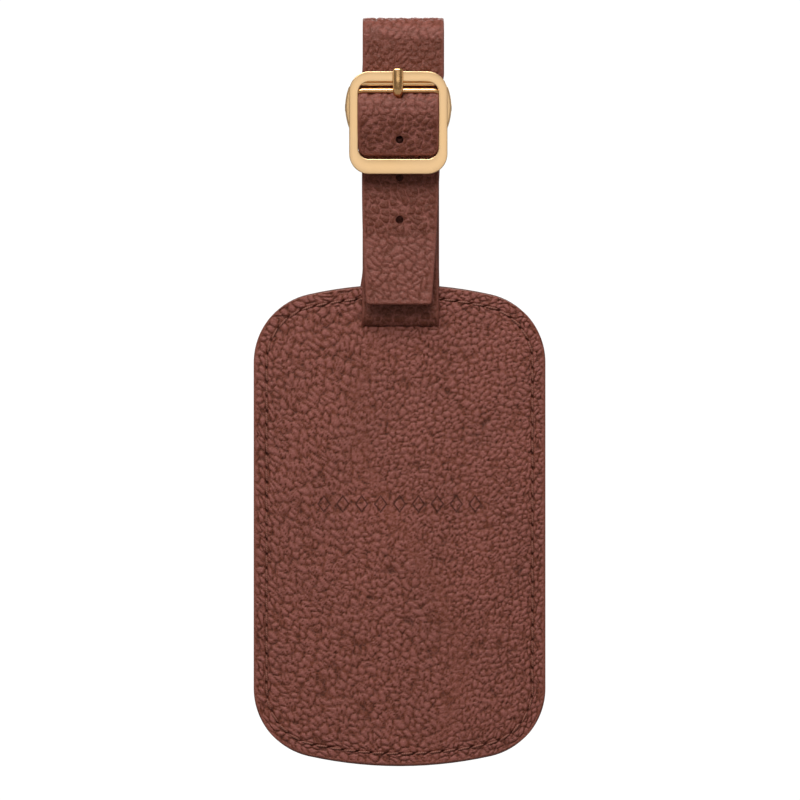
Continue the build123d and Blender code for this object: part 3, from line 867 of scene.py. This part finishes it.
# ---- Address card ----
# Uncoated cream stock with six ruled lines and a plain frame line, blank as it is supplied.
card = rounded_copy("address_card", "address_card_sheet", 0.00008)
stock = bpy.data.materials.new("ruled_card")
stock.use_nodes = True
nodes, links = stock.node_tree.nodes, stock.node_tree.links
shader = nodes["Principled BSDF"]
where = nodes.new("ShaderNodeTexCoord").outputs["Object"]
apart, fibre = nodes.new("ShaderNodeSeparateXYZ"), nodes.new("ShaderNodeTexNoise")
fibre.inputs["Scale"].default_value = 1800.0
fibre.inputs["Detail"].default_value = 5.0
links.new(where, apart.inputs["Vector"])
links.new(where, fibre.inputs["Vector"])
x_at, z_at = apart.outputs["X"], apart.outputs["Z"]
card_low, card_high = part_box("address_card")
card_mid = (card_low.z + card_high.z) / 2
rise = sums("SUBTRACT", z_at, card_mid - 0.0255)
in_rows = sums("MULTIPLY", sums("GREATER_THAN", rise, 0), sums("LESS_THAN", rise, 0.0515))
on_line = sums("LESS_THAN", sums("FRACT", sums("DIVIDE", rise, 0.0085)), 0.045)
in_width = sums("LESS_THAN", sums("ABSOLUTE", x_at), 0.0195)
ruled = sums("MULTIPLY", sums("MULTIPLY", in_rows, on_line), in_width)
off_x = sums("DIVIDE", sums("ABSOLUTE", x_at), 0.0222)
off_z = sums("DIVIDE", sums("ABSOLUTE", sums("SUBTRACT", z_at, card_mid)), 0.0285)
border = sums("LESS_THAN", sums("ABSOLUTE", sums("SUBTRACT", sums("MAXIMUM", off_x, off_z), 1.0)), 0.009)
ink = sums("MAXIMUM", ruled, border)
paper_tone, printed = nodes.new("ShaderNodeValToRGB"), nodes.new("ShaderNodeMix")
paper_tone.color_ramp.elements[0].color = (0.66, 0.62, 0.53, 1)
paper_tone.color_ramp.elements[1].color = (0.82, 0.79, 0.71, 1)
links.new(fibre.outputs["Fac"], paper_tone.inputs["Fac"])
printed.data_type = "RGBA"
links.new(ink, printed.inputs["Factor"])
links.new(paper_tone.outputs["Color"], printed.inputs[6])
printed.inputs[7].default_value = (0.23, 0.12, 0.09, 1)
links.new(printed.outputs[2], shader.inputs["Base Color"])
tooth, matt = nodes.new("ShaderNodeBump"), nodes.new("ShaderNodeMapRange")
tooth.inputs["Strength"].default_value = 0.5
tooth.inputs["Distance"].default_value = 0.00004
links.new(fibre.outputs["Fac"], tooth.inputs["Height"])
links.new(tooth.outputs["Normal"], shader.inputs["Normal"])
matt.inputs["To Min"].default_value, matt.inputs["To Max"].default_value = 0.68, 0.85
links.new(fibre.outputs["Fac"], matt.inputs["Value"])
links.new(matt.outputs["Result"], shader.inputs["Roughness"])
card.data.materials.append(stock)
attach(card, "card")

# ---- Buckle frame ----
# Cast and light-gold plated: a flat rounded plate, deeper along its bottom bar, with a window, a ledge
# behind the top bar, and two curved lugs behind the sides that carry the centre bar. It sits 0.3 mm left
# of the middle, and the plate, rod and prong hang a little low on the bar.
def plated(name, tint, shadow, rough, scratch):
    """Light gold plate over brass, softly brushed, with hairline scratches and slightly cloudy patches."""
    made = bpy.data.materials.new(name)
    made.use_nodes = True
    nodes, links = made.node_tree.nodes, made.node_tree.links
    shader = nodes["Principled BSDF"]
    where = nodes.new("ShaderNodeTexCoord").outputs["Object"]
    hair, cloud = nodes.new("ShaderNodeTexNoise"), nodes.new("ShaderNodeTexNoise")
    stretch, mark = nodes.new("ShaderNodeMapping"), nodes.new("ShaderNodeBump")
    stretch.inputs["Scale"].default_value = (0.06, 1.0, 1.0)
    hair.inputs["Scale"].default_value = 5200.0
    hair.inputs["Detail"].default_value = 4.0
    cloud.inputs["Scale"].default_value = 130.0
    cloud.inputs["Detail"].default_value = 1.0
    links.new(where, stretch.inputs["Vector"])
    links.new(stretch.outputs["Vector"], hair.inputs["Vector"])
    links.new(where, cloud.inputs["Vector"])
    ramp, gloss = nodes.new("ShaderNodeValToRGB"), nodes.new("ShaderNodeMapRange")
    ramp.color_ramp.elements[0].color, ramp.color_ramp.elements[1].color = (*shadow, 1), (*tint, 1)
    ramp.color_ramp.elements[0].position, ramp.color_ramp.elements[1].position = 0.25, 0.6
    links.new(cloud.outputs["Fac"], ramp.inputs["Fac"])
    links.new(ramp.outputs["Color"], shader.inputs["Base Color"])
    gloss.inputs["From Min"].default_value, gloss.inputs["From Max"].default_value = 0.3, 0.7
    gloss.inputs["To Min"].default_value, gloss.inputs["To Max"].default_value = rough - 0.01, rough + 0.03
    links.new(cloud.outputs["Fac"], gloss.inputs["Value"])
    links.new(gloss.outputs["Result"], shader.inputs["Roughness"])
    mark.inputs["Strength"].default_value = 0.08
    mark.inputs["Distance"].default_value = scratch
    links.new(hair.outputs["Fac"], mark.inputs["Height"])
    links.new(mark.outputs["Normal"], shader.inputs["Normal"])
    shader.inputs["Metallic"].default_value = 1.0
    return made


gold = plated("satin_gold", (0.92, 0.63, 0.34), (0.88, 0.59, 0.30), 0.29, 0.000004)
bright_gold = plated("polished_gold", (0.80, 0.49, 0.22), (0.70, 0.39, 0.15), 0.23, 0.000003)
BUCKLE_X, DROP = -0.0003, 0.00075
plate_low, plate_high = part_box("buckle_frame")
PLATE_TOP, PLATE_BOTTOM, PLATE_T = plate_high.z - DROP, plate_low.z - DROP, 0.0016
PLATE_W, PLATE_CORNER, PLATE_FRONT_Y = 0.0233, 0.0048, -0.0080
SIDE_BAR, TOP_BAR_MORE, BOTTOM_BAR_MORE = 0.00208, 0.00032, 0.00142
plate_mid = (PLATE_TOP + PLATE_BOTTOM) / 2
bm = bmesh.new()
bmesh.ops.create_grid(bm, x_segments=1, y_segments=1, size=0.5)
bmesh.ops.scale(bm, verts=bm.verts, vec=(PLATE_W, PLATE_TOP - PLATE_BOTTOM, 1))
bmesh.ops.bevel(
    bm, geom=bm.verts[:], offset=PLATE_CORNER, segments=14, affect="VERTICES", profile=0.5, material=-1
)
ring = bmesh.ops.inset_region(
    bm, faces=bm.faces[:], thickness=SIDE_BAR, use_even_offset=True, use_boundary=True
)
window = [f for f in bm.faces if f not in ring["faces"]]
for vert in window[0].verts:
    vert.co.y -= TOP_BAR_MORE if vert.co.y > 0 else -BOTTOM_BAR_MORE
bmesh.ops.delete(bm, geom=window, context="FACES_ONLY")
made = bmesh.ops.extrude_face_region(bm, geom=bm.faces[:])["geom"]
raised = [g for g in made if isinstance(g, bmesh.types.BMVert)]
bmesh.ops.translate(bm, verts=raised, vec=(0, 0, PLATE_T))
bmesh.ops.recalc_face_normals(bm, faces=bm.faces)
rims = [e for e in bm.edges if e.calc_face_angle(0) > 1.2]
front_rims = [e for e in rims if min(v.co.z for v in e.verts) > PLATE_T / 2]
bmesh.ops.bevel(bm, geom=front_rims, offset=0.00015, segments=4, affect="EDGES", profile=0.5, material=-1)
back_rims = [e for e in bm.edges if e.calc_face_angle(0) > 1.2 and max(v.co.z for v in e.verts) < 0.0001]
bmesh.ops.bevel(bm, geom=back_rims, offset=0.00025, segments=2, affect="EDGES", profile=0.5, material=-1)
bmesh.ops.translate(bm, verts=bm.verts, vec=(0, plate_mid, -PLATE_T))
bmesh.ops.rotate(bm, verts=bm.verts, matrix=Matrix.Rotation(math.radians(90), 3, "X"))
bmesh.ops.translate(bm, verts=bm.verts, vec=(BUCKLE_X, PLATE_FRONT_Y, 0))
LUG_HALF_H, LUG_REACH, LUG_START, LUG_DEEP = 0.00495, 0.0126, 0.0098, 0.0049
sagitta = LUG_REACH - PLATE_W / 2
lug_r = (LUG_HALF_H**2 + sagitta**2) / (2 * sagitta)
for side in (-1, 1):
    lug = bmesh.new()
    bmesh.ops.create_circle(lug, cap_ends=True, segments=160, radius=lug_r)
    bmesh.ops.translate(lug, verts=lug.verts, vec=(LUG_REACH - lug_r, 0, 0))
    bmesh.ops.bisect_plane(
        lug,
        geom=lug.verts[:] + lug.edges[:] + lug.faces[:],
        plane_co=(LUG_START, 0, 0),
        plane_no=(1, 0, 0),
        clear_inner=True,
    )
    for level, way in ((LUG_HALF_H, 1), (-LUG_HALF_H, -1)):
        bmesh.ops.bisect_plane(
            lug,
            geom=lug.verts[:] + lug.edges[:] + lug.faces[:],
            plane_co=(0, level, 0),
            plane_no=(0, way, 0),
            clear_outer=True,
        )
    made = bmesh.ops.extrude_face_region(lug, geom=lug.faces[:])["geom"]
    deep = [g for g in made if isinstance(g, bmesh.types.BMVert)]
    bmesh.ops.translate(lug, verts=deep, vec=(0, 0, -LUG_DEEP))
    bmesh.ops.recalc_face_normals(lug, faces=lug.faces)
    sharp = [e for e in lug.edges if e.calc_face_angle(0) > 0.7]
    bmesh.ops.bevel(lug, geom=sharp, offset=0.0004, segments=4, affect="EDGES", profile=0.5, material=-1)
    if side < 0:
        bmesh.ops.scale(lug, verts=lug.verts, vec=(-1, 1, 1))
        bmesh.ops.reverse_faces(lug, faces=lug.faces)
    bmesh.ops.rotate(lug, verts=lug.verts, matrix=Matrix.Rotation(math.radians(90), 3, "X"))
    bmesh.ops.translate(lug, verts=lug.verts, vec=(BUCKLE_X, PLATE_FRONT_Y + 0.0010, BAR_Z))
    part = bpy.data.meshes.new("lug")
    lug.to_mesh(part)
    lug.free()
    bm.from_mesh(part)
ledge = bmesh.new()
bmesh.ops.create_cube(ledge, size=1.0)
bmesh.ops.scale(ledge, verts=ledge.verts, vec=(0.0190, 0.0011, 0.00105))
bmesh.ops.bevel(
    ledge, geom=ledge.edges[:], offset=0.00044, segments=5, affect="EDGES", profile=0.5, material=-1
)
bmesh.ops.translate(ledge, verts=ledge.verts, vec=(BUCKLE_X, -0.00672, -0.00986 - DROP))
part = bpy.data.meshes.new("ledge")
ledge.to_mesh(part)
ledge.free()
bm.from_mesh(part)
for facet in bm.faces:
    facet.smooth = True
buckle = bpy.data.objects.new("buckle_frame_cast", bpy.data.meshes.new("buckle_frame_cast"))
bm.to_mesh(buckle.data)
bm.free()
buckle.data.set_sharp_from_angle(angle=math.radians(30))
scene.collection.objects.link(buckle)
buckle.data.materials.append(gold)
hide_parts("buckle_frame")
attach(buckle, "buckle")

# ---- Bar, rod and prong ----
# Three pieces of drawn wire: the centre bar, riveted over at its ends, the thin keeper rod, whose ends
# dip into the frame, and the prong, looped round the bar and bent through the strap to lie across the top
# of the frame.
def drawn(name, centres, across, wide, thick, sides=28):
    """Wire along its centres, as (x, y, z) points: wide along across at each point, thick the other way."""
    ahead = np.gradient(centres, axis=0)
    ahead /= np.linalg.norm(ahead, axis=1)[:, None]
    out = np.cross(ahead, across)

    def place(i, j):
        a = i / sides * 2 * math.pi
        sideways, outward = np.cos(a) * wide[j] / 2, np.sin(a) * thick[j] / 2
        spots = centres[j] + across * sideways[:, None] + out[j] * outward[:, None]
        return spots, np.ones(len(spots))

    piece = grid(name, sides, len(centres) - 1, place)
    piece.data.materials.clear()
    piece.data.materials.append(bright_gold)
    return piece


def stops(length, corner):
    """Places along a wire, close together at its rounded ends, and its share of full width at each."""
    near = corner * (1 - np.cos(np.linspace(0, math.pi / 2, 7)))
    at = np.concatenate((near, np.linspace(corner, length - corner, 60)[1:-1], length - near[::-1]))
    return at, 1 - tip_share(np.minimum(at, length - at), corner) / corner


UP, SIDEWAYS = np.array((0, 0, 1.0)), np.array((1.0, 0, 0))
bar_half = LUG_REACH + 0.00008
at, share = stops(2 * bar_half, 0.0003)
line = np.stack((BUCKLE_X + at - bar_half, np.full(len(at), BAR_Y), np.full(len(at), BAR_Z)), 1)
size = 0.002 * (0.72 + 0.28 * share) * (share > 0)
bar = drawn("centre_bar_riveted", line, UP, size, size)
rod_low, rod_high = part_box("keeper_rod")
rod_half = rod_high.x
at, share = stops(2 * rod_half, 0.0002)
dip = np.maximum(np.abs(at - rod_half) - 0.0080, 0) ** 2 / 0.0080
rod_y, rod_z = (rod_low.y + rod_high.y) / 2, (rod_low.z + rod_high.z) / 2 - DROP
line = np.stack((BUCKLE_X + at - rod_half, rod_y + dip * 0.5, rod_z - dip), 1)
rod = drawn("keeper_rod_drawn", line, UP, 0.00118 * share, 0.00110 * share)
prong_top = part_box("prong")[1].z - DROP
loop = np.radians(np.linspace(118, -215, 70))
PRONG_ROUTE = [
    (-0.00872, prong_top, 0),
    (-0.00886, -0.0098, 0.0050),
    (-0.00838, -0.0125, 0.0024),
    (-0.00640, -0.0141, 0.0030),
    (-0.00440, -0.01468, 0),
]
shank = rounded_route(PRONG_ROUTE)[0]
bar_loop = np.stack((BAR_Y + 0.00158 * np.cos(loop), BAR_Z + 0.00158 * np.sin(loop)), 1)
shank = np.concatenate((shank, bar_loop))
shank_run = np.concatenate(([0], np.cumsum(np.hypot(*np.diff(shank, axis=0).T))))
at, share = stops(shank_run[-1], 0.0006)
shank_y, shank_z = (np.interp(at, shank_run, shank[:, k]) for k in (0, 1))
line = np.stack((np.full(len(at), BUCKLE_X - 0.0001), shank_y, shank_z), 1)
taper = 0.0025 - 0.0004 * ease((at - 0.0030) / 0.0050)
wide = taper * (0.45 + 0.55 * share) * (share > 0)
prong = drawn("prong_bent", line, SIDEWAYS, wide, 0.0012 * (0.3 + 0.7 * share))
for piece, node, body, named in (
    (bar, "centre_bar", "buckle", "steel"),
    (rod, "keeper_rod", "buckle", "brass"),
    (prong, "prong", "prong", "brass"),
):
    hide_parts(node)
    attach(piece, body)
